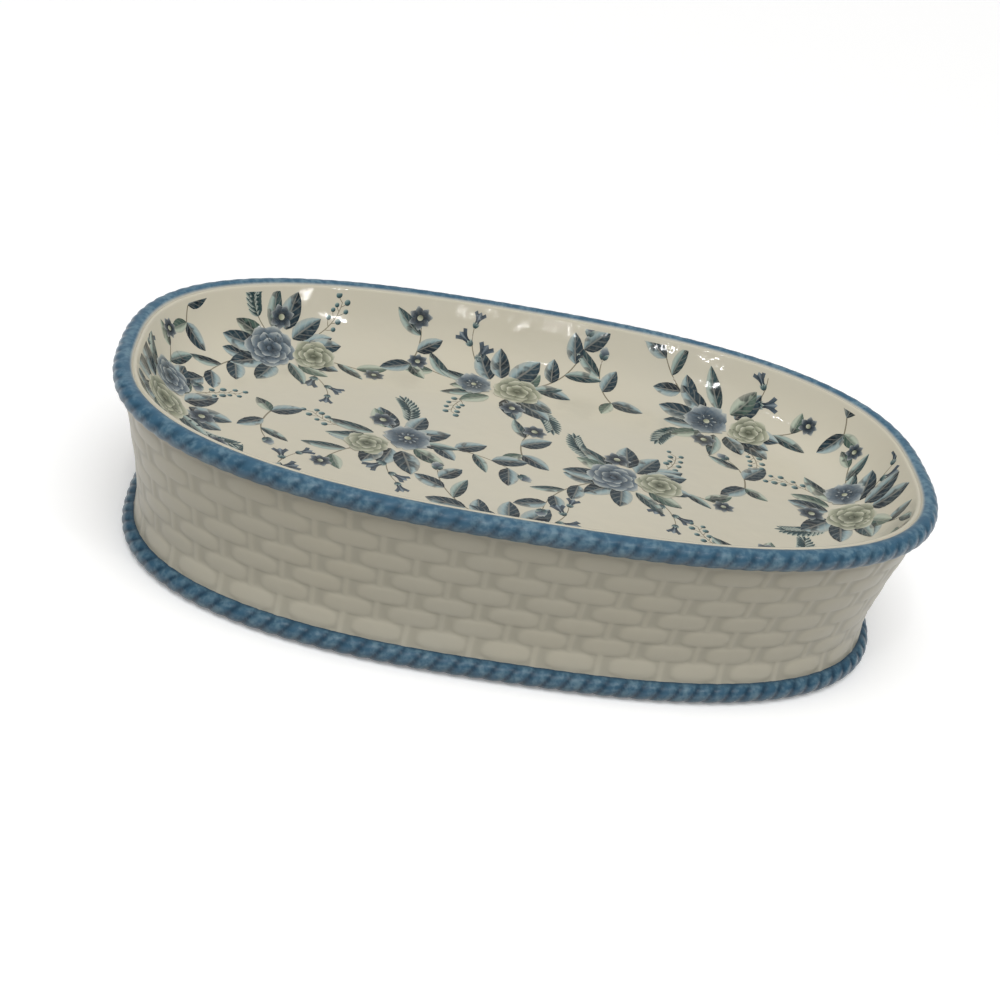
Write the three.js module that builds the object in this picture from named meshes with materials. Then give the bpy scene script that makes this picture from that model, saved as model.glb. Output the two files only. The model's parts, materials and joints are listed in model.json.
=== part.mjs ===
// Oval ceramic soap dish: a shallow well set into a waisted basket-weave wall,
// with a twisted rope moulding round the rim and another round the foot.
// Millimetres, +Z up, +X along the oval. The foot stands at z = 0 with the oval's centre at the origin.
import * as THREE from "three";

// Overall sizes
const length = 150; // over the rim rope, along X
const width = 93.5; // over the rim rope, along Y
const height = 33.6; // from the table to the top of the rim rope
const ovalPower = 2.6; // 2 is an ellipse, a larger power is squarer
const clearance = 0.3; // between two pieces that seat on each other

// Rope mouldings
const rimRopeWidth = 3.2; // from its outside to its flat back
const rimRopeHeight = 3.7;
const rimRopeOverhang = 1.8; // how far the rim rope stands out past the top of the wall
const footRopeWidth = 3.1;
const footRopeHeight = 3.6;
const footRopeOverhang = 1.4; // how far the foot rope stands out past the wall above it
const footRopeLift = 0.2; // foot rope's underside above the table
const footInset = 4.1; // outside of the foot rope, in from the outside of the rim rope
const strandPitch = 3.25; // along the rope, from one strand to the next
const strandGroove = 0.45; // depth of the groove between two strands
const strandLean = 28; // degrees that a groove leans from upright, seen from outside

// Basket wall
const wallThickness = 4;
const waistHeight = 8; // height of the narrowest place
const waistInset = 6.2; // wall's outside at the waist, in from the outside of the rim rope
const brimCurve = 1.3; // 1 is a straight taper from waist to rim, more curls out at the top
const footWidth = 3; // flat ring that stands on the table
const upstandThickness = 2.8; // top of the wall, between the rim rope's overhang and the well
const wellSeatDepth = 3; // ledge for the well, below the top of the wall

// Basket weave on the wall
const stakeSpacing = 5.5; // between the upright stakes, along the wall
const courseHeight = 3.6; // one weaver strand
const plainBand = 0.3; // smooth band between the top course and the rim rope
const weaveRelief = 0.8; // from the crown of a weaver to the ground behind it
const stakeShare = 0.45; // height of a stake, as a share of the relief
const grooveShare = 0.12; // height between two courses, as a share of the relief

// Well
const wellDepth = 12; // from the top of the rim rope to the middle of the floor
const wellThickness = 4;
const wellLipDrop = 0.4; // well's lip below the top of the rim rope
const wellSlopeRun = 15; // from the lip to the edge of the floor, seen from above
const wellDish = 0.4; // rise of the floor from its middle to its edge

// Places that follow from the sizes
const wallTop = height - rimRopeHeight - clearance;
const brimInset = rimRopeOverhang;
const upstandInset = brimInset + upstandThickness; // inner face of the wall's upstand
const wellInset = upstandInset + clearance; // outer face of the well, inside the upstand
const lipInset = rimRopeWidth + clearance; // outer face of the well's lip, behind the rim rope
const ledgeHeight = wallTop - wellSeatDepth;
const footSeatTop = footRopeLift + footRopeHeight + clearance;
const footSeatInset = footInset + footRopeWidth + clearance;
const flareInset = footInset + footRopeOverhang;

const weaveTop = wallTop - plainBand;
const courseCount = Math.round((weaveTop - footSeatTop) / courseHeight);
const columnsPerStake = 3;

// An oval that lies inside the rim rope's outside by the inset, at height z.
class Oval extends THREE.Curve {
  constructor(inset, z = 0) {
    super();
    this.halfLength = length / 2 - inset;
    this.halfWidth = width / 2 - inset;
    this.z = z;
  }

  getPoint(t, target = new THREE.Vector3()) {
    const angle = 2 * Math.PI * t;
    const bend = (v) => Math.sign(v) * Math.abs(v) ** (2 / ovalPower);
    const x = this.halfLength * bend(Math.cos(angle));
    const y = this.halfWidth * bend(Math.sin(angle));
    return target.set(x, y, this.z);
  }
}

// Places round the oval that are evenly spaced along the waist.
const waistOval = new Oval(waistInset);
waistOval.arcLengthDivisions = 2000;
const stakeCount = 2 * Math.round(waistOval.getLength() / (2 * stakeSpacing));
const columnCount = stakeCount * columnsPerStake;
const stations = (count) => Array.from({ length: count }, (_, k) => waistOval.getUtoTmapping(k / count));
const stakeStations = stations(stakeCount);
const columnStations = stations(columnCount);

const ring = (inset, z) => stakeStations.map((t) => new Oval(inset, z).getPoint(t));

// The skin between two rings of equal counts. Each four-sided patch folds outwards along its diagonal.
function bridgeEqual(triangles, upper, lower) {
  upper.forEach((a, i) => {
    const next = (i + 1) % upper.length;
    const b = lower[i];
    const c = lower[next];
    const d = upper[next];
    const normal = b.clone().sub(a).cross(c.clone().sub(a));
    const foldsIn = normal.dot(d.clone().sub(a)) > 0;
    triangles.push(...(foldsIn ? [a, b, d, b, c, d] : [a, b, c, a, c, d]));
  });
}

// The skin between two rings, where one ring has a whole multiple of the other's points.
function bridgeUneven(triangles, upper, lower) {
  const [fine, coarse] = upper.length > lower.length ? [upper, lower] : [lower, upper];
  const share = fine.length / coarse.length;
  const add = (a, b, c) => triangles.push(...(fine === upper ? [a, b, c] : [a, c, b]));
  coarse.forEach((corner, i) => {
    for (let j = i * share; j < (i + 1) * share; j += 1) add(fine[j], corner, fine[(j + 1) % fine.length]);
    const next = (i + 1) % coarse.length;
    if (next !== i) add(corner, coarse[next], fine[((i + 1) * share) % fine.length]);
  });
}

// A closed body through a list of rings: first to last, and back to the first where the list loops.
function bodyThrough(rings, loops) {
  const triangles = [];
  rings.forEach((lower, i) => {
    if (i === 0 && !loops) return;
    const upper = rings.at(i - 1);
    const bridge = upper.length === lower.length ? bridgeEqual : bridgeUneven;
    bridge(triangles, upper, lower);
  });
  const geometry = new THREE.BufferGeometry().setFromPoints(triangles);
  geometry.computeVertexNormals();
  return geometry;
}

// Outside of the wall: a flare from foot to waist, then a taper that curls out under the rim rope.
function wallInset(z) {
  if (z < waistHeight) {
    const down = (waistHeight - z) / (waistHeight - footSeatTop);
    return waistInset + (flareInset - waistInset) * down ** 2;
  }
  const up = (z - waistHeight) / (wallTop - waistHeight);
  return waistInset + (brimInset - waistInset) * up ** brimCurve;
}

// Height of the weave on the middle of a course, from 0 on the ground to 1 on a weaver's crown.
// A weaver passes over every second stake and dives behind the ones between, where the stake shows.
function weaveHeight(column, course) {
  const swing = Math.cos((Math.PI * column) / columnsPerStake + Math.PI * course);
  const weaver = Math.sqrt(Math.max(0, (swing + 0.6) / 1.6));
  const stake = stakeShare * Math.max(0, -2 * swing - 1);
  return Math.max(weaver, stake);
}

// One row of points across the weave, counted down.
// Odd rows lie on the courses, even ones in the grooves below them.
function weaveRow(row) {
  const z = weaveTop - ((weaveTop - footSeatTop) * row) / (2 * courseCount);
  const course = (row - 1) / 2;
  return columnStations.map((t, column) => {
    const share = row % 2 ? weaveHeight(column, course) : grooveShare;
    return new Oval(wallInset(z) + weaveRelief * (1 - share), z).getPoint(t);
  });
}

function basketWall() {
  const weave = Array.from({ length: 2 * courseCount }, (_, i) => weaveRow(i + 1));
  return bodyThrough(
    [
      ring(upstandInset, ledgeHeight),
      ring(upstandInset, wallTop),
      ring(brimInset, wallTop),
      ring(wallInset(weaveTop), weaveTop),
      ...weave,
      ring(footSeatInset, footSeatTop),
      ring(footSeatInset, 0),
      ring(footSeatInset + footWidth, 0),
      ring(waistInset + wallThickness, waistHeight),
      ring(wallInset(ledgeHeight) + wallThickness, ledgeHeight),
    ],
    true,
  );
}

// Rings along a profile curve of the well, whose points hold inset and height.
const profileRings = (curve, steps) =>
  Array.from({ length: steps + 1 }, (_, i) => {
    const point = curve.getPoint(i / steps);
    return ring(point.x, point.y);
  });

function soapWell() {
  const lipTop = height - wellLipDrop;
  const floorMiddle = height - wellDepth;
  const floorEdge = floorMiddle + wellDish;
  const floorEdgeInset = lipInset + wellSlopeRun;
  const drop = lipTop - floorEdge;
  const slope = new THREE.CubicBezierCurve(
    new THREE.Vector2(floorEdgeInset, floorEdge),
    new THREE.Vector2(lipInset + 0.42 * wellSlopeRun, floorEdge),
    new THREE.Vector2(lipInset + 0.24 * wellSlopeRun, lipTop - 0.52 * drop),
    new THREE.Vector2(lipInset, lipTop),
  );
  const underInset = wallInset(ledgeHeight) + wallThickness + clearance;
  const underEdge = floorEdge - wellThickness;
  const underside = new THREE.CubicBezierCurve(
    new THREE.Vector2(underInset, ledgeHeight),
    new THREE.Vector2(underInset + 0.25 * wellSlopeRun, (ledgeHeight + underEdge) / 2),
    new THREE.Vector2(underInset + 0.4 * wellSlopeRun, underEdge),
    new THREE.Vector2(floorEdgeInset, underEdge),
  );
  return bodyThrough(
    [
      [new THREE.Vector3(0, 0, floorMiddle)],
      ...profileRings(slope, 7),
      ring(lipInset, wallTop + clearance),
      ring(wellInset, wallTop + clearance),
      ring(wellInset, ledgeHeight),
      ...profileRings(underside, 4),
      [new THREE.Vector3(0, 0, floorMiddle - wellThickness)],
    ],
    false,
  );
}

// A rope moulding round the oval, with a flat back.
// Its outside swells on each strand and narrows in each groove. The sections lean, so the grooves slant.
function rope(ropeWidth, ropeHeight, outerInset, underside) {
  const middle = underside + ropeHeight / 2;
  const path = new Oval(outerInset + ropeWidth, middle);
  path.arcLengthDivisions = 2000;
  const sectionCount = 2 * Math.round(path.getLength() / strandPitch);
  const lean = Math.tan(THREE.MathUtils.degToRad(strandLean));
  const up = new THREE.Vector3(0, 0, 1);
  const sections = Array.from({ length: sectionCount }, (_, k) => {
    const t = path.getUtoTmapping(k / sectionCount);
    const along = path.getTangent(t);
    const out = along.clone().cross(up);
    const groove = k % 2 ? strandGroove : 0;
    const reach = ropeWidth - groove;
    const rise = ropeHeight / 2 - groove / 2;
    const corners = [
      [0, -0.8 * rise],
      [0.55 * reach, -rise],
      [reach, -0.4 * rise],
      [reach, 0.4 * rise],
      [0.55 * reach, rise],
      [0, 0.8 * rise],
    ];
    return corners.map(([x, y]) =>
      path.getPoint(t).addScaledVector(out, x).addScaledVector(up, y).addScaledVector(along, y * lean),
    );
  });
  return bodyThrough(sections, true);
}

const glaze = new THREE.MeshStandardMaterial({ color: 0xd6cfbb, roughness: 0.16, metalness: 0 });
const ropeBlue = new THREE.MeshStandardMaterial({ color: 0x5b7f9f, roughness: 0.35, metalness: 0 });

function piece(name, geometry, material) {
  const mesh = new THREE.Mesh(geometry, material);
  mesh.name = name;
  return mesh;
}

const soapDish = new THREE.Group();
soapDish.add(
  piece("basket_wall", basketWall(), glaze),
  piece("soap_well", soapWell(), glaze),
  piece("rim_rope", rope(rimRopeWidth, rimRopeHeight, 0, height - rimRopeHeight), ropeBlue),
  piece("foot_rope", rope(footRopeWidth, footRopeHeight, footInset, footRopeLift), ropeBlue),
);

export default soapDish;
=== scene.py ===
import json
import math

import bpy
import numpy as np
from mathutils import Matrix, Vector

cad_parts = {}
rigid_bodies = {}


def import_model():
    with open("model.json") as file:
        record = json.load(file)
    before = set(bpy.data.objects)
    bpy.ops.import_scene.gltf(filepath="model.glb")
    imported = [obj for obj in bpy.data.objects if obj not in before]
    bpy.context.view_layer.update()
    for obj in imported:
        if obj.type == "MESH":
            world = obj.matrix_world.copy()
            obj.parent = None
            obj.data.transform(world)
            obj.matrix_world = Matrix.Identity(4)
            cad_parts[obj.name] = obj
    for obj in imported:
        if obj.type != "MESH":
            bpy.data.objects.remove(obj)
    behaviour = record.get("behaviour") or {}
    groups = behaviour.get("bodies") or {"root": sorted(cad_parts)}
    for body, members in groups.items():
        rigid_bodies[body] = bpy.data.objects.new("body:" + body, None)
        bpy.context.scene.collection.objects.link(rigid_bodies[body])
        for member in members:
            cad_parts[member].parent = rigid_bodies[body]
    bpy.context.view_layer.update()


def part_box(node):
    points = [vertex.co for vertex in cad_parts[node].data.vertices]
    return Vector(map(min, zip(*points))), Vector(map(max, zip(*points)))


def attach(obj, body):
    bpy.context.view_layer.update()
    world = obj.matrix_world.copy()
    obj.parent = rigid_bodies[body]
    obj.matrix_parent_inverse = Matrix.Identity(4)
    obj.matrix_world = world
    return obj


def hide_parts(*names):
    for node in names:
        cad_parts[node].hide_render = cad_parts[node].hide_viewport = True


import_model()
scene = bpy.context.scene
scene.view_settings.view_transform = "Standard"
mm = 0.001

# Camera at the height, turn and tilt of the photograph. Lengths are in millimetres.
view = {"target": (-2.45, 0.0, 12.6), "azimuth": -7.14, "elevation": 28.07, "roll": 12.43,
        "distance": 328.3, "lens": 63.2}

cameraData = bpy.data.cameras.new("camera")
cameraData.lens = view["lens"]
cameraData.sensor_width = 36
cameraData.clip_start = 0.01
camera = bpy.data.objects.new("camera", cameraData)
scene.collection.objects.link(camera)
scene.camera = camera
turn, rise = math.radians(view["azimuth"]), math.radians(view["elevation"])
backwards = Vector((math.sin(turn) * math.cos(rise), -math.cos(turn) * math.cos(rise), math.sin(rise)))
aim = backwards.to_track_quat("Z", "Y").to_matrix().to_4x4()
camera.matrix_world = (Matrix.Translation((Vector(view["target"]) + view["distance"] * backwards) * mm)
                       @ aim @ Matrix.Rotation(math.radians(view["roll"]), 4, "Z"))
print("camera set")


# Adds a node with its settings and feeds its inputs, by place or by name, with values or from other nodes.
def addNode(tree, kind, *inputs, sockets=None, **settings):
    node = tree.nodes.new(kind)
    for name, value in settings.items():
        setattr(node, name, value)
    for socket, value in [*enumerate(inputs), *(sockets or {}).items()]:
        if isinstance(value, bpy.types.Node):
            value = value.outputs[0]
        if isinstance(value, bpy.types.NodeSocket):
            tree.links.new(value, node.inputs[socket])
        elif value is not None:
            node.inputs[socket].default_value = value
    return node


def linear(hexColour):
    parts = [int(hexColour[i:i + 2], 16) / 255 for i in (1, 3, 5)]
    return [c / 12.92 if c <= 0.04045 else ((c + 0.055) / 1.055) ** 2.4 for c in parts] + [1.0]


def newMaterial(name):
    material = bpy.data.materials.new(name)
    material.use_nodes = True
    return material, material.node_tree, material.node_tree.nodes["Principled BSDF"]


# Cream earthenware, cast, bisque fired and dipped in clear glaze. The glaze gives a sharp wet shine over a
# soft cream body. The recesses of the weave are painted grey, partly as pooled glaze and partly as painted
# shade; there the wall is satin rather than wet, and the ring it stands on is wiped dry to the clay.
glazeLook = {"cream": "#c5c1b2", "warm": "#cac3af", "poolShade": "#b8b3a2", "clay": "#cdbfa4", "cloud": 22.0,
             "ripple": 5.0, "rippleDepth": 0.14, "roughness": 0.07, "satin": 0.34, "poolShadeFrom": 0.25,
             "dryBelow": 0.35, "dryRoughness": 0.75, "refraction": 1.5}


# The slightly rippled skin of the clear glaze, which breaks its glints.
def glazeShine(tree, shader, place):
    ripple = addNode(tree, "ShaderNodeTexNoise", place,
                     sockets={"Scale": 1 / (glazeLook["ripple"] * mm), "Detail": 2.0})
    bump = addNode(tree, "ShaderNodeBump",
                   sockets={"Distance": glazeLook["rippleDepth"] * mm, "Height": ripple})
    tree.links.new(bump.outputs[0], shader.inputs["Normal"])
    shader.inputs["Roughness"].default_value = glazeLook["roughness"]
    shader.inputs["IOR"].default_value = glazeLook["refraction"]


def creamGlaze():
    look = glazeLook
    material, tree, shader = newMaterial("clear_glaze_on_cream_earthenware")
    place = addNode(tree, "ShaderNodeTexCoord").outputs["Object"]
    cloud = addNode(tree, "ShaderNodeTexNoise", place,
                    sockets={"Scale": 1 / (look["cloud"] * mm), "Detail": 3.0})
    body = addNode(tree, "ShaderNodeMix", cloud, data_type="RGBA",
                   sockets={6: linear(look["cream"]), 7: linear(look["warm"])})
    # Pooled glaze and painted shade: the deeper the recess of the weave, the closer the colour goes to a
    # darker grey.
    recess = addNode(tree, "ShaderNodeAttribute", attribute_name="recess")
    shade = addNode(tree, "ShaderNodeMapRange", recess.outputs["Fac"], look["poolShadeFrom"], 1.0, 0.0, 1.0,
                    interpolation_type="SMOOTHSTEP")
    pooledAndShaded = addNode(tree, "ShaderNodeMix", shade, data_type="RGBA",
                     sockets={6: body.outputs[2], 7: linear(look["poolShade"])})
    height = addNode(tree, "ShaderNodeSeparateXYZ", place).outputs["Z"]
    dry = addNode(tree, "ShaderNodeMapRange", height, look["dryBelow"] * mm, 0.5 * look["dryBelow"] * mm,
                  0.0, 1.0)
    colour = addNode(tree, "ShaderNodeMix", dry, data_type="RGBA",
                     sockets={6: pooledAndShaded.outputs[2], 7: linear(look["clay"])})
    glazeShine(tree, shader, place)
    woven = addNode(tree, "ShaderNodeAttribute", attribute_name="woven")
    soft = addNode(tree, "ShaderNodeMapRange", woven.outputs["Fac"], 0.0, 1.0,
                   look["roughness"], look["satin"])
    rough = addNode(tree, "ShaderNodeMapRange", dry, 0.0, 1.0, soft, look["dryRoughness"])
    tree.links.new(colour.outputs[2], shader.inputs["Base Color"])
    tree.links.new(rough.outputs[0], shader.inputs["Roughness"])
    return material


# Slate blue stain brushed over the raised rope before glazing. It is dark in the grooves, as stain pooled
# there and as painted shade, and dark in the foot rope's seam against the wall as painted shade. It is thin
# on the crowns, with uneven brush marks, stops short of the side towards the well, and shines a little less
# than the well does.
blueLook = {"deep": "#1f3e53", "mid": "#3a6078", "worn": "#6b8998", "bare": "#c9c4b5", "patch": 3.2,
            "speck": 0.9, "deepBelow": 0.25, "midAbove": 0.95, "thinFrom": 0.2, "thinFull": 0.38,
            "thinMost": 0.8, "bareFrom": 116.0, "bareTo": 144.0, "grain": 0.25, "grainDepth": 0.1,
            "roughness": 0.3}


def blueGlaze():
    look = blueLook
    material, tree, shader = newMaterial("slate_blue_underglaze_stain")
    place = addNode(tree, "ShaderNodeTexCoord").outputs["Object"]
    patch = addNode(tree, "ShaderNodeTexNoise", place,
                    sockets={"Scale": 1 / (look["patch"] * mm), "Detail": 3.0})
    speck = addNode(tree, "ShaderNodeTexNoise", place,
                    sockets={"Scale": 1 / (look["speck"] * mm), "Detail": 2.0})
    relief = addNode(tree, "ShaderNodeAttribute", attribute_name="relief")
    # Dark blue where the relief value is low: stain and painted shade in the grooves, painted shade in the
    # foot rope's seam.
    clearOfStainAndShade = addNode(tree, "ShaderNodeMapRange", relief.outputs["Fac"], look["deepBelow"], look["midAbove"],
                     0.0, 1.0)
    stainAndShade = addNode(tree, "ShaderNodeMix", clearOfStainAndShade, data_type="RGBA",
                    sockets={6: linear(look["deep"]), 7: linear(look["mid"])})
    brushed = addNode(tree, "ShaderNodeMath", patch, speck, operation="MULTIPLY")
    thin = addNode(tree, "ShaderNodeMapRange", brushed, look["thinFrom"], look["thinFull"],
                   0.0, look["thinMost"])
    thinCrown = addNode(tree, "ShaderNodeMath", thin, clearOfStainAndShade, operation="MULTIPLY")
    colour = addNode(tree, "ShaderNodeMix", thinCrown, data_type="RGBA",
                     sockets={6: stainAndShade.outputs[2], 7: linear(look["worn"])})
    around = addNode(tree, "ShaderNodeAttribute", attribute_name="around")
    unpainted = addNode(tree, "ShaderNodeMapRange", around.outputs["Fac"], math.radians(look["bareFrom"]),
                        math.radians(look["bareTo"]), 0.0, 1.0, interpolation_type="SMOOTHSTEP")
    finished = addNode(tree, "ShaderNodeMix", unpainted, data_type="RGBA",
                       sockets={6: colour.outputs[2], 7: linear(look["bare"])})
    bump = addNode(tree, "ShaderNodeBump", sockets={
        "Strength": look["grain"], "Distance": look["grainDepth"] * mm, "Height": speck})
    tree.links.new(finished.outputs[2], shader.inputs["Base Color"])
    tree.links.new(bump.outputs[0], shader.inputs["Normal"])
    shader.inputs["Roughness"].default_value = look["roughness"]
    shader.inputs["IOR"].default_value = glazeLook["refraction"]
    return material


creamMaterial, blueMaterial = creamGlaze(), blueGlaze()
print("materials made")

# The oval that every piece follows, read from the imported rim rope. Millimetres from here on.
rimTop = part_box("rim_rope")[1] / mm
oval = {"halfLength": rimTop.x, "halfWidth": rimTop.y, "power": 2.6, "waistInset": 6.2, "measuredAt": 40001}


# Plan of the oval that lies inside the rim by the inset, at turns around it.
def ovalPlan(turns, inset):
    def bend(v):
        return np.sign(v) * np.abs(v) ** (2 / oval["power"])
    return ((oval["halfLength"] - inset) * bend(np.cos(turns)),
            (oval["halfWidth"] - inset) * bend(np.sin(turns)))


# Turns that are evenly spaced along the waist.
def evenTurns(count):
    turns = np.linspace(0, 2 * np.pi, oval["measuredAt"])
    x, y = ovalPlan(turns, oval["waistInset"])
    along = np.concatenate([[0], np.cumsum(np.hypot(np.diff(x), np.diff(y)))])
    return np.interp(np.arange(count) / count * along[-1], along, turns)


# Grid of points from a list of (inset, height) steps, one row for each step.
def ovalRows(profile, turns):
    rows = []
    for inset, height in profile:
        x, y = ovalPlan(turns, inset)
        rows.append(np.stack([x, y, np.full_like(x, height)], axis=1))
    return np.array(rows)


# Closed mesh from rows of points that run from the top down the outside. The rows loop back to the first one,
# or end in a point at the middle of the first and the last row.
def rowMesh(name, rows, loops, attributes=None):
    rowCount, columnCount = rows.shape[:2]
    index = np.arange(rowCount * columnCount).reshape(rowCount, columnCount)
    upper = index if loops else index[:-1]
    lower = np.roll(index, -1, axis=0) if loops else index[1:]
    quads = np.stack([upper, lower, np.roll(lower, -1, axis=1), np.roll(upper, -1, axis=1)], axis=2)
    points, faces = rows.reshape(-1, 3), quads.reshape(-1, 4).tolist()
    if not loops:
        middles = [rows[0].mean(axis=0), rows[-1].mean(axis=0)]
        points = np.concatenate([points, middles])
        top, bottom = len(points) - 2, len(points) - 1
        for i in range(columnCount):
            j = (i + 1) % columnCount
            faces.append((top, index[0, i], index[0, j]))
            faces.append((bottom, index[-1, j], index[-1, i]))
    mesh = bpy.data.meshes.new(name)
    mesh.from_pydata((points * mm).tolist(), [], faces)
    for key, values in (attributes or {}).items():
        layer = mesh.attributes.new(key, "FLOAT", "POINT")
        spread = np.broadcast_to(values, (rowCount, columnCount))
        layer.data.foreach_set("value", spread.ravel().astype(np.float32))
    mesh.shade_smooth()
    piece = bpy.data.objects.new(name, mesh)
    scene.collection.objects.link(piece)
    return piece


# Empty Geometry Nodes tree with a geometry input and output and named number inputs.
def newTree(name, numbers):
    tree = bpy.data.node_groups.new(name, "GeometryNodeTree")
    tree.interface.new_socket("Geometry", in_out="INPUT", socket_type="NodeSocketGeometry")
    tree.interface.new_socket("Geometry", in_out="OUTPUT", socket_type="NodeSocketGeometry")
    for key in numbers:
        tree.interface.new_socket(key, in_out="INPUT", socket_type="NodeSocketFloat")
    return tree, tree.nodes.new("NodeGroupInput")


# Ends a tree with the material, and runs it on the piece with its numbers, leaving a plain mesh.
def runTree(piece, tree, geometry, numbers, material):
    whole = addNode(tree, "GeometryNodeRealizeInstances", geometry)
    dressed = addNode(tree, "GeometryNodeSetMaterial", whole, sockets={"Material": material})
    addNode(tree, "NodeGroupOutput", dressed)
    modifier = piece.modifiers.new(tree.name, "NODES")
    modifier.node_group = tree
    for item in tree.interface.items_tree:
        if item.in_out == "INPUT" and item.name in numbers:
            modifier[item.identifier] = float(numbers[item.name])
    bpy.context.view_layer.update()
    solved = piece.evaluated_get(bpy.context.evaluated_depsgraph_get())
    mesh = bpy.data.meshes.new_from_object(solved)
    piece.modifiers.remove(modifier)
    piece.data = mesh
    mesh.shade_smooth()
    return piece


# Wall: a waisted oval with basket weave pressed into it. Stakes stand 5.5 mm apart, and each weaver strand
# passes over every second one. A strand's length and width are shares of the room it has.
wall = {"top": 31.2, "brimHeight": 29.6, "brimInset": 1.8, "waistHeight": 8.0, "brimCurve": 1.3,
        "flareHeight": 4.1, "flareInset": 5.95, "thickness": 4.0, "ledge": 26.6, "seatInset": 4.9,
        "upstandInset": 4.6, "footInset": 7.5, "footWidth": 3.0, "weaveTop": 29.05, "weaveFoot": 4.0,
        "courses": 7, "stakes": 66, "firstStake": 0.69, "columnsPerStake": 12, "rowsPerCourse": 10}
weave = {"relief": 0.24, "strandLength": 0.8, "strandWidth": 1.08, "endRound": 3.2, "edgeRound": 2.5,
         "crown": 0.65, "stakeStart": 0.85, "stakeFull": 0.95, "stakeHeight": 0.55, "stakeShift": 0.09,
         "blend": 0.1}


def wallInset(height):
    below = np.clip((wall["waistHeight"] - height) / (wall["waistHeight"] - wall["flareHeight"]), 0, None)
    above = np.clip((height - wall["waistHeight"]) / (wall["brimHeight"] - wall["waistHeight"]), 0, 1)
    return (oval["waistInset"] + (wall["flareInset"] - oval["waistInset"]) * below ** 2
            + (wall["brimInset"] - oval["waistInset"]) * above ** wall["brimCurve"])


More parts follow.
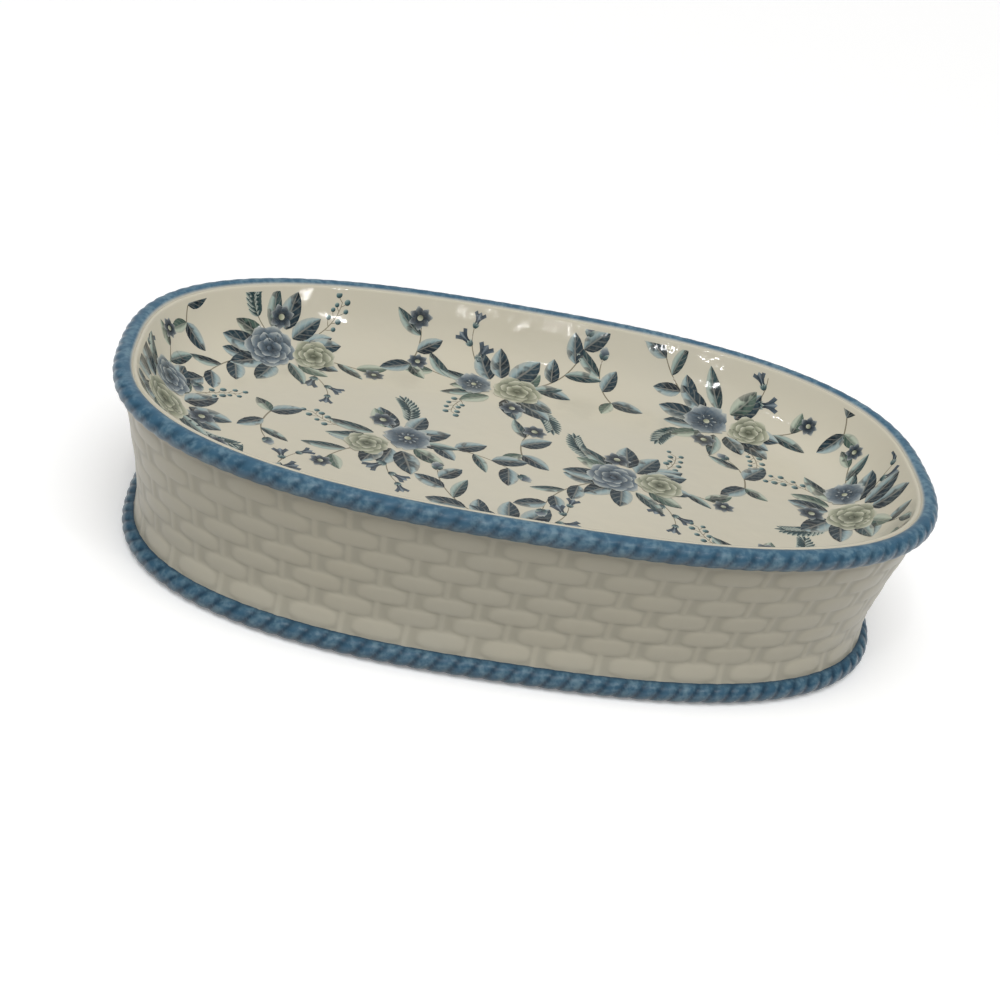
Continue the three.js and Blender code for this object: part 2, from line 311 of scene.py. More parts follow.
def basketWall():
    turns = evenTurns(wall["stakes"] * wall["columnsPerStake"])
    weaveRows = np.linspace(wall["weaveTop"], wall["weaveFoot"], wall["courses"] * wall["rowsPerCourse"] + 1)
    inner = wall["footInset"] + wall["footWidth"]
    outside = [(wall["brimInset"] + 1.0, wall["top"]), (wall["brimInset"] + 0.2, wall["top"] - 0.6),
               (wall["brimInset"], wall["brimHeight"])]
    outside += [(wallInset(z), z) for z in weaveRows]
    foot = [(5.9, 3.4), (6.3, 2.0), (wall["footInset"] - 0.6, 0.6), (wall["footInset"] - 0.2, 0.15),
            (wall["footInset"] + 0.3, 0.0), (inner - 0.4, 0.0), (inner, 0.15), (inner + 0.1, 0.7)]
    waist = oval["waistInset"] + wall["thickness"]
    inside = [(waist + 0.2, 4.5), (waist, wall["waistHeight"])]
    inside += [(wallInset(z) + wall["thickness"], z) for z in np.linspace(10, wall["ledge"], 8)]
    inside += [(wall["seatInset"], wall["ledge"] + 0.2), (wall["upstandInset"], wall["top"])]
    profile = outside + foot + inside
    heights = np.array([z for _, z in profile])[:, None]
    isOutside = np.arange(len(profile))[:, None] < len(outside)
    course = (wall["weaveTop"] - heights) / (wall["weaveTop"] - wall["weaveFoot"]) * wall["courses"]
    inWeave = isOutside & (course > -1e-6) & (course < wall["courses"] + 1e-6)
    stake = wall["firstStake"] + np.arange(len(turns))[None, :] / wall["columnsPerStake"]
    piece = rowMesh("basket_weave_wall", ovalRows(profile, turns), True,
                    {"stake": stake, "course": np.clip(course, 0, wall["courses"] - 1e-4),
                     "woven": inWeave.astype(float)})

    numbers = {**weave, "relief": weave["relief"] * mm}
    tree, given = newTree("weaveRelief", numbers)
    stakes = addNode(tree, "GeometryNodeInputNamedAttribute", "stake")
    courses = addNode(tree, "GeometryNodeInputNamedAttribute", "course")
    woven = addNode(tree, "GeometryNodeInputNamedAttribute", "woven")
    courseIndex = addNode(tree, "ShaderNodeMath", courses, operation="FLOOR")
    shifted = addNode(tree, "ShaderNodeMath", stakes, courseIndex, operation="ADD")
    # 0 on a hidden stake, 1 on a bare one
    fromStake = addNode(tree, "ShaderNodeMath", shifted, 1.0, operation="PINGPONG")
    across = addNode(tree, "ShaderNodeMath", courses, operation="FRACT")
    twice = addNode(tree, "ShaderNodeMath", across, 2.0, -1.0, operation="MULTIPLY_ADD")
    fromMiddle = addNode(tree, "ShaderNodeMath", twice, operation="ABSOLUTE")
    lengthShare = addNode(tree, "ShaderNodeMath", fromStake, given.outputs["strandLength"],
                          operation="DIVIDE")
    widthShare = addNode(tree, "ShaderNodeMath", fromMiddle, given.outputs["strandWidth"],
                         operation="DIVIDE")
    lengthPower = addNode(tree, "ShaderNodeMath", lengthShare, given.outputs["endRound"], operation="POWER")
    widthPower = addNode(tree, "ShaderNodeMath", widthShare, given.outputs["edgeRound"], operation="POWER")
    fromEdge = addNode(tree, "ShaderNodeMath", lengthPower, widthPower, operation="ADD")
    inEdge = addNode(tree, "ShaderNodeMath", 1.0, fromEdge, operation="SUBTRACT", use_clamp=True)
    strand = addNode(tree, "ShaderNodeMath", inEdge, given.outputs["crown"], operation="POWER")
    aside = addNode(tree, "ShaderNodeMath", shifted, given.outputs["stakeShift"], operation="ADD")
    fromAside = addNode(tree, "ShaderNodeMath", aside, 1.0, operation="PINGPONG")
    bareStake = addNode(tree, "ShaderNodeMapRange", fromAside, given.outputs["stakeStart"],
                        given.outputs["stakeFull"], 0.0, given.outputs["stakeHeight"],
                        interpolation_type="SMOOTHSTEP")
    pattern = addNode(tree, "ShaderNodeMath", strand, bareStake, given.outputs["blend"],
                      operation="SMOOTH_MAX")
    relief = addNode(tree, "ShaderNodeMix", woven, data_type="FLOAT", sockets={2: 1.0, 3: pattern})
    recess = addNode(tree, "ShaderNodeMath", 1.0, relief, operation="SUBTRACT")
    depth = addNode(tree, "ShaderNodeMath", recess, given.outputs["relief"], operation="MULTIPLY")
    inward = addNode(tree, "ShaderNodeMath", depth, -1.0, operation="MULTIPLY")
    normal = addNode(tree, "GeometryNodeInputNormal")
    pushed = addNode(tree, "ShaderNodeVectorMath", normal, operation="SCALE", sockets={"Scale": inward})
    formed = addNode(tree, "GeometryNodeSetPosition", given, sockets={"Offset": pushed})
    stored = addNode(tree, "GeometryNodeStoreNamedAttribute", formed,
                     sockets={"Name": "recess", "Value": recess})
    return runTree(piece, tree, stored, numbers, creamMaterial)


wallPiece = basketWall()
print("wall made:", len(wallPiece.data.polygons), "faces")

# Well: a shallow dish with a rounded lip that stands just inside the rim rope.
well = {"lipInset": 3.5, "lipTop": 33.2, "slopeRun": 15.0, "floorEdge": 22.0, "floorMiddle": 21.6,
        "thickness": 4.0, "ledge": 26.6, "seatInset": 4.9, "underInset": 6.9, "innermost": 0.4,
        "columns": 480}


def bezier(points, count):
    t = np.linspace(0, 1, count)[:, None]
    a, b, c, d = (np.array(p, float) for p in points)
    return (1 - t) ** 3 * a + 3 * (1 - t) ** 2 * t * b + 3 * (1 - t) * t ** 2 * c + t ** 3 * d


# Inside of the well from the middle of the floor to the crest of the lip, as (inset, height) steps.
def wellProfile():
    crest, top, foot = well["lipInset"], well["lipTop"], well["floorEdge"]
    edge = crest + well["slopeRun"]
    reach = np.linspace(oval["halfWidth"] - well["innermost"], edge, 24)
    dish = ((oval["halfWidth"] - reach) / (oval["halfWidth"] - edge)) ** 2
    floor = np.stack([reach, well["floorMiddle"] + (foot - well["floorMiddle"]) * dish], axis=1)
    slope = bezier([(edge, foot), (crest + 0.42 * well["slopeRun"], foot + 0.2),
                    (crest + 0.24 * well["slopeRun"], top - 0.52 * (top - foot)),
                    (crest + 0.75, top - 0.7)], 48)[1:]
    lip = bezier([slope[-1], (crest + 0.5, top - 0.2), (crest + 0.35, top), (crest - 0.05, top - 0.1)], 9)[1:]
    return np.concatenate([floor, slope, lip])


def soapWell():
    inside = wellProfile()
    edge = well["lipInset"] + well["slopeRun"]
    under = well["floorEdge"] - well["thickness"]
    dish = well["floorEdge"] - well["floorMiddle"]
    collar = well["lipInset"] - 0.5
    outside = [(collar, well["lipTop"] - 0.8), (collar, well["lipTop"] - 2.6),
               (well["seatInset"], well["ledge"] + 3.0), (well["seatInset"], well["ledge"])]
    below = bezier([(well["underInset"], well["ledge"]),
                    (well["underInset"] + 3.75, (well["ledge"] + under) / 2),
                    (well["underInset"] + 6.0, under), (edge, under)], 20).tolist()
    flat = [(r, under - dish * (r - edge) / (oval["halfWidth"] - edge))
            for r in np.linspace(edge, oval["halfWidth"] - well["innermost"], 12)[1:]]
    rows = ovalRows([*inside.tolist(), *outside, *below, *flat], evenTurns(well["columns"]))
    return rowMesh("cream_well", rows, False)


wellPiece = soapWell()
wellPiece.data.materials.append(creamMaterial)
print("well made:", len(wellPiece.data.polygons), "faces")

# Print: sprays of wild roses, camellias, peonies, bellflowers and berries, transferred onto the well in
# slate, teal and cream green. Each motif is a set of thin plates of ink, drawn flat, with its base at the
# origin and its tip towards +X.
inks = {"leafBlue": ("#14222a", "#3c5864", "#97acae"), "leafTeal": ("#182a2d", "#4a696d", "#a0b3ab"),
        "leafPale": ("#2d423b", "#778d80", "#b4bdab"), "bloomBlue": ("#17222c", "#5b6c79", "#a9b3b3"),
        "bloomCream": ("#353a2b", "#969a83", "#c6c5b0"), "navy": ("#101a22", "#3c4b58", "#8b989f"),
        "stem": ("#4a4736", "#736b57", "#968d77")}
printLook = {"trim": 1.5, "margin": 0.2, "lift": 0.02, "sunk": 0.02, "level": 0.003, "seed": 11,
             "stemGirth": 0.17, "stemFlatness": 0.12, "stemSides": 6, "stemInk": 0.9, "sharpFrom": 40.0,
             "mottle": 0.7, "mottleFrom": 0.25, "mottleFull": 0.55, "mottleLeast": 0.92,
             "veinFrom": 0.5, "vein": 0.14, "midrib": 0.28, "midribFrom": 0.04, "midribTo": 0.13,
             "outlineFrom": 0.6, "outline": 0.25,
             "wash": 2.6, "washFrom": 0.53, "washFull": 0.63, "washDepth": 0.75}
rng = np.random.default_rng(printLook["seed"])


# Colour of an ink from its dark (0) to its pale (1) tone, with its strength over the glaze.
def inkTone(name, tone, strength=1.0):
    colours = np.array([linear(c)[:3] for c in inks[name]])
    tone = np.clip(tone, 0, 1)
    parts = [np.interp(tone, (0, 0.5, 1), colours[:, i]) for i in range(3)]
    return np.stack([*parts, np.broadcast_to(strength, tone.shape)], axis=-1)


def grid(along, across):
    return np.meshgrid(np.linspace(0.015, 0.985, along), np.linspace(-1, 1, across), indexing="ij")


# What the pen draws on a plate: the phase of its fine lines, the way to its edge (0 on a midrib) and their
# strength.
def penLines(phase, edge, strength):
    return np.stack(np.broadcast_arrays(phase, edge, strength), axis=-1)


# A plate is (x, y, level, ink, pen lines) on a grid.
def leafPlate(name, length, width, teeth=0.0, bend=0.0, pen=1.0, along=9, across=5):
    u, v = grid(along, across)
    u = u - 0.08 * np.sin(2 * np.pi * u)
    half = 0.5 * width * np.sin(np.pi * u ** 0.85) ** 0.8 * (1 + teeth * np.cos(10 * np.pi * u))
    tone = 0.04 + 0.78 * np.clip(2 * v, 0, 1) + 0.16 * u
    return (length * u, v * half + bend * length * u * (1 - u), 0.0 * u,
            inkTone(name, tone, 1 - 0.45 * np.clip(v, 0, 1) ** 4),
            penLines(4.5 * u - 1.3 * np.abs(v), np.abs(v), pen))


def petalPlate(name, angle, base, tip, width, level, notch=0.0, along=5, across=5):
    u, v = grid(along, across)
    reach = tip - base
    r = base + reach * (u - 0.2 * v ** 2 * u ** 2 - notch * np.exp(-(v / 0.35) ** 2) * u ** 4)
    side = 0.5 * width * v * np.sin(np.pi * (0.12 + 0.76 * u)) ** 0.7
    rim = np.maximum(u, np.abs(v) * (0.4 + 0.6 * u))
    tone = 0.04 + 0.5 * u ** 1.2 + 0.4 * rim ** 5 + 0.24 * v * u + 0.05 * np.cos(4 * np.pi * v) * u
    edge = np.maximum(0.2, np.maximum(u, np.abs(v)))
    return (r * np.cos(angle) - side * np.sin(angle), r * np.sin(angle) + side * np.cos(angle), level + v,
            inkTone(name, tone, 1 - 0.4 * u ** 4), penLines(2.5 * v, edge, 0.25))


def discPlate(name, radius, level, dark, pale):
    u, v = grid(4, 4)
    w = 2 * u - 1
    x, y = w * np.sqrt(1 - v ** 2 / 2), v * np.sqrt(1 - w ** 2 / 2)
    tone = dark + (pale - dark) * (0.5 - 0.4 * x + 0.4 * y)
    return (radius * x, radius * y, level + 0.0 * u, inkTone(name, tone),
            penLines(0.0 * u, np.hypot(x, y), 0.0))


# Rings of overlapping petals, the outer ones first, around a small eye.
def bloom(name, rings, notch, eye, eyeRadius, eyeTone):
    plates = []
    for number, (count, base, tip, width) in enumerate(rings):
        for k in range(count):
            turned = 2 * np.pi * (k + 0.37 * number) / count + 0.12 * np.sin(5 * k + number)
            size = 1 + 0.07 * np.sin(3 * k + 2 * number)
            plates.append(petalPlate(name, turned, base, tip * size, width * size, 3 * number, notch))
    return plates + [discPlate(eye, eyeRadius, 3 * len(rings), *eyeTone)]


def bellFlower():
    u, v = grid(6, 7)
    half = 0.55 + 1.15 * u ** 1.6 - 0.35 * np.sin(np.pi * u) ** 2
    tip = 0.35 * np.cos(3 * np.pi * v) * u ** 4
    body = (0.4 + 3.6 * u + tip, v * half, 0.0 * u,
            inkTone("navy", 0.2 + 0.45 * u + 0.3 * np.cos(2 * np.pi * v) - 0.25 * np.abs(v) ** 3),
            penLines(1.5 * v, np.maximum(0.2, np.abs(v)), 0.4))
    sepals = [petalPlate("leafTeal", a, 0.1, 1.7, 0.7, 2, along=4, across=3) for a in (-0.5, 0.0, 0.5)]
    return [body, *sepals]


def budFlower():
    sepals = [petalPlate("leafTeal", a, 0.2, 2.0, 0.9, 2, along=4, across=5) for a in (-0.55, 0.55)]
    return [petalPlate("bloomBlue", 0.0, 0.3, 3.2, 2.2, 0),
            petalPlate("bloomBlue", 0.25, 0.3, 2.9, 1.3, 1), *sepals]


motifs = {
    "leaf": [leafPlate("leafBlue", 8.4, 4.9, teeth=0.05, bend=0.08)],
    "longLeaf": [leafPlate("leafTeal", 9.4, 3.2, bend=0.14)],
    "paleLeaf": [leafPlate("leafPale", 7.4, 3.8, bend=-0.1)],
    "wildRose": bloom("bloomBlue", [(5, 0.4, 4.8, 4.7), (9, 0.5, 1.9, 0.5)], 0.2,
                      "bloomCream", 0.6, (0.3, 0.9)),
    "camellia": bloom("bloomCream", [(7, 1.9, 4.9, 4.0), (6, 1.2, 3.7, 3.3), (5, 0.4, 2.4, 2.4)], 0.05,
                      "bloomCream", 0.55, (0.0, 0.3)),
    "peony": bloom("bloomBlue", [(8, 1.9, 5.1, 3.8), (7, 1.2, 3.9, 3.0), (5, 0.4, 2.5, 2.3)], 0.08,
                   "bloomBlue", 0.6, (0.0, 0.4)),
    "starFlower": bloom("navy", [(7, 0.5, 2.7, 1.7)], 0.0, "bloomCream", 0.65, (0.2, 0.9)),
    "bell": bellFlower(),
    "bud": budFlower(),
    "berry": [discPlate("leafTeal", 0.62, 0, 0.0, 0.9)],
    "grain": [leafPlate("leafTeal", 2.3, 0.85, pen=0.0, along=5, across=3)]}
motifOrder = sorted(motifs)
marks, stems = [], []


def mark(kind, place, turn, size, level):
    marks.append((motifOrder.index(kind), *place, turn, size, level))


def growStem(start, heading, length, curl, girth=1.0):
    count = max(3, int(length / 0.9))
    angles = heading + curl * np.linspace(0, 1, count) ** 1.3
    steps = length / count * np.stack([np.cos(angles), np.sin(angles)], axis=1)
    path = np.array(start) + np.concatenate([[[0, 0]], np.cumsum(steps, axis=0)])
    stems.append((path, girth * np.linspace(1.0, 0.6, count + 1)))
    return path, np.append(angles, angles[-1])


def leafTwig(start, heading, length, curl, kinds, end, endSize):
    path, angles = growStem(start, heading, length, curl)
    for number, i in enumerate(range(4, len(path) - 1, 4)):
        side = 1 if number % 2 else -1
        mark(kinds[number % len(kinds)], path[i], angles[i] + side * rng.uniform(0.55, 0.95),
             rng.uniform(0.68, 0.9), 2 + number)
    mark(end, path[-1], angles[-1], endSize, 20)


def grainTwig(start, heading, length, curl):
    path, angles = growStem(start, heading, length, curl, 0.7)
    for i in range(3, len(path)):
        size = 0.75 + 0.65 * np.sin(np.pi * i / len(path))
        for side in (-1, 1):
            mark("grain", path[i], angles[i] + side * 0.62, size, 2)
    mark("grain", path[-1], angles[-1], 1.0, 2)


def berryTwig(start, heading, length, curl):
    path, angles = growStem(start, heading, length, curl, 0.7)
    for i in range(len(path) // 3, len(path)):
        side = 1 if i % 2 else -1
        tip, _ = growStem(path[i], angles[i] + side * 0.9, rng.uniform(1.4, 2.2), -side * 0.4, 0.5)
        mark("berry", tip[-1], 0.0, rng.uniform(0.8, 1.15), 2)


def bellTwig(start, heading, length, curl):
    path, angles = growStem(start, heading, length, curl, 0.8)
    for number, i in enumerate(np.linspace(len(path) // 3, len(path) - 1, 3).astype(int)):
        mark("bell", path[i], angles[i] + (-0.9, 0.7, -0.2)[number], (1.1, 0.95, 0.85)[number], 4 + number)


# A spray: three blooms on a bed of leaves, with a long and a short leafy stem and three slighter twigs.
def spray(x, y, heading, hand, lead, second):
    def at(distance, angle):
        turned = heading + hand * math.radians(angle)
        return (x + distance * math.cos(turned), y + distance * math.sin(turned)), turned
    for number, angle in enumerate(range(15, 375, 32)):
        place, turned = at(rng.uniform(3.4, 5.0), angle + rng.uniform(-8, 8))
        kind = ("leaf", "longLeaf", "leaf", "paleLeaf", "leaf")[(number + len(marks)) % 5]
        mark(kind, place, turned + rng.uniform(-0.35, 0.35), rng.uniform(0.86, 1.08), 6 + 5 * (number % 3))
    mark(lead, at(2.8, 175)[0], rng.uniform(0, 6), 1.08, 26)
    mark(second, at(6.0, -15)[0], rng.uniform(0, 6), rng.uniform(0.88, 0.98), 36)
    mark("starFlower", at(7.4, 92)[0], rng.uniform(0, 6), 1.0, 30)
    place, turned = at(4.0, 196)
    leafTwig(place, turned, 21.0, hand * 0.9, ("leaf", "leaf", "longLeaf"), "bud", 1.0)
    place, turned = at(6.0, -62)
    bellTwig(place, turned, 11.0, hand * -0.7)
    place, turned = at(6.0, 128)
    grainTwig(place, turned, 11.0, hand * -0.8)
    place, turned = at(6.5, 28)
    berryTwig(place, turned, 10.5, hand * 0.8)
    place, turned = at(7.0, -18)
    leafTwig(place, turned, 11.5, hand * -0.5, ("longLeaf", "paleLeaf"), "starFlower", 0.8)


# A small sprig that fills a gap between sprays.
def sprig(x, y, heading, hand, end):
    mark("leaf", (x, y), heading + hand * 2.4, 0.8, 4)
    mark("paleLeaf", (x, y), heading - hand * 2.2, 0.75, 5)
    leafTwig((x, y), heading, 11.0, hand * 0.8, ("leaf", "longLeaf", "paleLeaf"), end, 0.95)


sprays = [(-47, 27, 20, 1, "peony", "camellia"), (-3, 28, 190, 1, "camellia", "wildRose"),
          (41, 27, -30, -1, "wildRose", "camellia"), (-66, -3, 80, -1, "camellia", "peony"),
          (-24, 0, 200, -1, "wildRose", "camellia"), (20, -1, 10, 1, "peony", "camellia"),
          (62, -2, 100, 1, "camellia", "wildRose"), (-45, -28, 150, 1, "wildRose", "camellia"),
          (-2, -29, -20, -1, "camellia", "peony"), (42, -28, 170, -1, "peony", "camellia")]
sprigs = [(-22, 32, 70, 1, "starFlower"), (19, 30, 120, -1, "bud"), (66, 21, 60, 1, "starFlower"),
          (-47, 3, 250, 1, "bud"), (0, 2, 95, -1, "starFlower"), (43, 3, 80, 1, "bud"),
          (-22, -30, 260, -1, "starFlower"), (20, -30, 280, 1, "bud"), (66, -24, 300, -1, "starFlower"),
          (-68, 20, 120, -1, "bud")]


# Unrolls the inside of the well: lengths along it from the crest of the lip, and the flat oval that it
# spreads to.
unrolled = wellProfile()[::-1]
wellReach = np.concatenate([[0], np.cumsum(np.hypot(*np.diff(unrolled, axis=0).T))])
spanX = oval["halfLength"] + wellReach[-1] - unrolled[-1, 0]
spanY = oval["halfWidth"] + wellReach[-1] - unrolled[-1, 0]


# Length from the lip to a flat point, by halving.
def reachOf(x, y):
    low, high = np.full(np.shape(x), -40.0), np.full(np.shape(x), wellReach[-1])
    for _ in range(40):
        middle = (low + high) / 2
        shareX, shareY = np.abs(x / (spanX - middle)), np.abs(y / (spanY - middle))
        beyond = shareX ** oval["power"] + shareY ** oval["power"] > 1
        low, high = np.where(beyond, low, middle), np.where(beyond, middle, high)
    return (low + high) / 2


# Place on the well of a flat point.
def onWell(x, y):
    reach = reachOf(x, y)
    inset = np.interp(reach, wellReach, unrolled[:, 0])
    return np.stack([x * (oval["halfLength"] - inset) / (spanX - reach),
                     y * (oval["halfWidth"] - inset) / (spanY - reach),
                     np.interp(reach, wellReach, unrolled[:, 1])], axis=1)


# Lays a flat mesh on the well, trimmed along the lip. Its own heights become heights above the glaze.
def layOnWell(mesh):
    flat = np.empty(3 * len(mesh.vertices), np.float32)
    mesh.vertices.foreach_get("co", flat)
    x, y, z = flat.reshape(-1, 3).T.astype(float) / mm
    reach = reachOf(x, y)
    kept = np.maximum(reach, printLook["trim"])
    x, y = x * (spanX - kept) / (spanX - reach), y * (spanY - kept) / (spanY - reach)
    step = 0.02
    normal = np.cross(onWell(x + step, y) - onWell(x - step, y), onWell(x, y + step) - onWell(x, y - step))
    normal /= np.linalg.norm(normal, axis=1)[:, None]
    laid = (onWell(x, y) + normal * z[:, None]) * mm
    mesh.vertices.foreach_set("co", laid.ravel().astype(np.float32))
    mesh.update()


# Closed thin plates, each a grid, as one flat mesh with its ink.
def plateMesh(name, plates):
    points, colours, lines, faces = [], [], [], []
    for x, y, level, ink, pen in plates:
        rows, columns = x.shape
        first = len(points)
        top = first + np.arange(x.size).reshape(rows, columns)
        for height in (printLook["lift"] + printLook["level"] * level, np.full_like(x, -printLook["sunk"])):
            points += np.stack([x, y, height], axis=-1).reshape(-1, 3).tolist()
            colours += ink.reshape(-1, 4).tolist()
            lines += pen.reshape(-1, 3).tolist()
        quads = np.stack([top[:-1, :-1], top[1:, :-1], top[1:, 1:], top[:-1, 1:]], axis=-1).reshape(-1, 4)
        rim = np.concatenate([top[:-1, 0], top[-1, :-1], top[:0:-1, -1], top[0, :0:-1]])
        following = np.roll(rim, -1)
        faces += quads.tolist() + (quads[:, ::-1] + x.size).tolist()
        faces += np.stack([rim + x.size, following + x.size, following, rim], axis=1).tolist()
    mesh = bpy.data.meshes.new(name)
    mesh.from_pydata((np.array(points) * mm).tolist(), [], faces)
    layer = mesh.attributes.new("ink", "FLOAT_COLOR", "POINT")
    layer.data.foreach_set("color", np.array(colours, np.float32).ravel())
    layer = mesh.attributes.new("pen", "FLOAT_VECTOR", "POINT")
    layer.data.foreach_set("vector", np.array(lines, np.float32).ravel())
    return mesh


# Ink under the clear glaze: colour from each plate with faint veins, a dark edge and dark washes, mottled as
# a transfer print is, with the well's own shine on top.
def printedGlaze():
    look = printLook
    material, tree, shader = newMaterial("underglaze_transfer_print")
    place = addNode(tree, "ShaderNodeTexCoord").outputs["Object"]
    ink = addNode(tree, "ShaderNodeAttribute", attribute_name="ink")
    mottle = addNode(tree, "ShaderNodeTexNoise", place,
                     sockets={"Scale": 1 / (look["mottle"] * mm), "Detail": 2.0})
    hold = addNode(tree, "ShaderNodeMapRange", mottle, look["mottleFrom"], look["mottleFull"],
                   look["mottleLeast"], 1.0)
    penWork = addNode(tree, "ShaderNodeAttribute", attribute_name="pen")
    pen = addNode(tree, "ShaderNodeSeparateXYZ", penWork.outputs["Vector"])
    turns = addNode(tree, "ShaderNodeMath", pen.outputs["X"], 2 * math.pi, operation="MULTIPLY")
    wave = addNode(tree, "ShaderNodeMath", turns, operation="COSINE")
    vein = addNode(tree, "ShaderNodeMapRange", wave, look["veinFrom"], 1.0, 0.0, look["vein"],
                   interpolation_type="SMOOTHSTEP")
    midrib = addNode(tree, "ShaderNodeMapRange", pen.outputs["Y"], look["midribFrom"],
                     look["midribTo"], look["midrib"], 0.0)
    paleLine = addNode(tree, "ShaderNodeMath", vein, midrib, operation="MAXIMUM")
    lifted = addNode(tree, "ShaderNodeMath", paleLine, pen.outputs["Z"], operation="MULTIPLY")
    left = addNode(tree, "ShaderNodeMath", 1.0, lifted, operation="SUBTRACT")
    held = addNode(tree, "ShaderNodeMath", ink.outputs["Alpha"], hold, operation="MULTIPLY")
    strength = addNode(tree, "ShaderNodeMath", held, left, operation="MULTIPLY")
    edge = addNode(tree, "ShaderNodeMapRange", pen.outputs["Y"], look["outlineFrom"], 1.0, 0.0,
                   look["outline"], interpolation_type="SMOOTHSTEP")
    washes = addNode(tree, "ShaderNodeTexNoise", place,
                     sockets={"Scale": 1 / (look["wash"] * mm), "Detail": 1.0})
    wash = addNode(tree, "ShaderNodeMapRange", washes, look["washFrom"], look["washFull"], 0.0,
                   look["washDepth"], interpolation_type="SMOOTHSTEP")
    shaded = addNode(tree, "ShaderNodeMath", edge, wash, operation="MAXIMUM")
    dark = addNode(tree, "ShaderNodeMath", shaded, pen.outputs["Z"], operation="MULTIPLY")
    drawn = addNode(tree, "ShaderNodeMix", dark, data_type="RGBA",
                    sockets={6: ink.outputs["Color"], 7: linear(inks["navy"][0])})
    colour = addNode(tree, "ShaderNodeMix", strength, data_type="RGBA",
                     sockets={6: linear(glazeLook["cream"]), 7: drawn.outputs[2]})
    tree.links.new(colour.outputs[2], shader.inputs["Base Color"])
    glazeShine(tree, shader, place)
    return material


def floralPrint():
    for x, y, heading, hand, lead, second in sprays:
        spray(x, y, math.radians(heading), hand, lead, second)
    for x, y, heading, hand, end in sprigs:
        sprig(x, y, math.radians(heading), hand, end)
    nearest = printLook["trim"] + printLook["margin"]
    shown = [m for m in marks if reachOf(np.array([m[1]]), np.array([m[2]]))[0] > nearest]
    points, edges, girths = [[m[1], m[2], m[5] * printLook["level"]] for m in shown], [], [0.0] * len(shown)
    for path, girth in stems:
        inside = reachOf(path[:, 0], path[:, 1]) > printLook["trim"]
        first = len(points)
        edges += [(first + i, first + i + 1) for i in range(len(path) - 1) if inside[i] and inside[i + 1]]
        points += [[px, py, 0.0] for px, py in path]
        girths += girth.tolist()
    mesh = bpy.data.meshes.new("floral_print")
    mesh.from_pydata((np.array(points) * mm).tolist(), edges, [])
    blank = [0.0] * (len(points) - len(shown))
    for key, kind, values in (("kind", "INT", [m[0] for m in shown] + [-1] * len(blank)),
                              ("turn", "FLOAT", [m[3] for m in shown] + blank),
                              ("size", "FLOAT", [m[4] for m in shown] + blank), ("girth", "FLOAT", girths)):
        mesh.attributes.new(key, kind, "POINT").data.foreach_set("value", values)
    piece = bpy.data.objects.new("floral_print", mesh)
    scene.collection.objects.link(piece)
    shelf = bpy.data.collections.new("motifs")
    scene.collection.children.link(shelf)
    for number, name in enumerate(motifOrder):
        shelf.objects.link(bpy.data.objects.new("%02d_%s" % (number, name), plateMesh(name, motifs[name])))

    numbers = {"Stem Girth": printLook["stemGirth"] * mm, "Stem Flatness": printLook["stemFlatness"]}
    tree, given = newTree("printScatter", numbers)
    kind = addNode(tree, "GeometryNodeInputNamedAttribute", "kind", data_type="INT")
    isMark = addNode(tree, "FunctionNodeCompare", data_type="INT", operation="GREATER_EQUAL",
                     sockets={"A": kind.outputs["Attribute"], "B": 0})
    drawn = addNode(tree, "GeometryNodeCollectionInfo", shelf, True, True)
    turned = addNode(tree, "ShaderNodeCombineXYZ",
                     sockets={"Z": addNode(tree, "GeometryNodeInputNamedAttribute", "turn")})
    placed = addNode(tree, "GeometryNodeInstanceOnPoints", given, sockets={
        "Selection": isMark, "Instance": drawn, "Pick Instance": True,
        "Instance Index": kind.outputs["Attribute"], "Rotation": turned,
        "Scale": addNode(tree, "GeometryNodeInputNamedAttribute", "size")})
    section = addNode(tree, "GeometryNodeCurvePrimitiveCircle", sockets={
        "Resolution": printLook["stemSides"], "Radius": given.outputs["Stem Girth"]})
    paths = addNode(tree, "GeometryNodeMeshToCurve", given)
    rods = addNode(tree, "GeometryNodeCurveToMesh", paths, section, sockets={
        "Scale": addNode(tree, "GeometryNodeInputNamedAttribute", "girth"), "Fill Caps": True})
    flattened = addNode(tree, "GeometryNodeTransform", rods, sockets={
        "Scale": addNode(tree, "ShaderNodeCombineXYZ", 1.0, 1.0, given.outputs["Stem Flatness"])})
    inked = addNode(tree, "GeometryNodeStoreNamedAttribute", flattened, data_type="FLOAT_COLOR",
                    sockets={"Name": "ink", "Value": (*linear(inks["stem"][1])[:3], printLook["stemInk"])})
    both = tree.nodes.new("GeometryNodeJoinGeometry")
    for part in (placed, inked):
        tree.links.new(part.outputs[0], both.inputs[0])
    runTree(piece, tree, both, numbers, printedGlaze())
    for drawing in list(shelf.objects):
        bpy.data.objects.remove(drawing)
    bpy.data.collections.remove(shelf)
    layOnWell(piece.data)
    piece.data.set_sharp_from_angle(angle=math.radians(printLook["sharpFrom"]))
    return piece


printPiece = floralPrint()
print("print made:", len(printPiece.data.polygons), "faces from", len(marks), "motifs")

# Ropes: round mouldings whose strands wind up to the right, smooth on the side that lies against the dish.
# A strand climbs by the twist, in pitches, in one turn round the section. Painted shade darkens the seam
# between the foot rope and the wall above it.
rimRope = {"radius": 1.85, "inset": 1.85, "height": 31.75, "strands": 120, "groove": 0.24,
           "grooveStainAndShade": 0.8, "smoothFrom": 35.0, "smoothTo": 95.0, "seamShade": 0.0}
footRope = {"radius": 1.8, "inset": 5.9, "height": 2.0, "strands": 114, "groove": 0.28,
            "grooveStainAndShade": 1.0, "smoothFrom": 50.0, "smoothTo": 110.0, "seamShade": 0.8}
ropeForm = {"twist": 2, "swell": 0.7, "columnsPerStrand": 10, "sides": 24,
            "seamFrom": 60.0, "seamFull": 105.0}


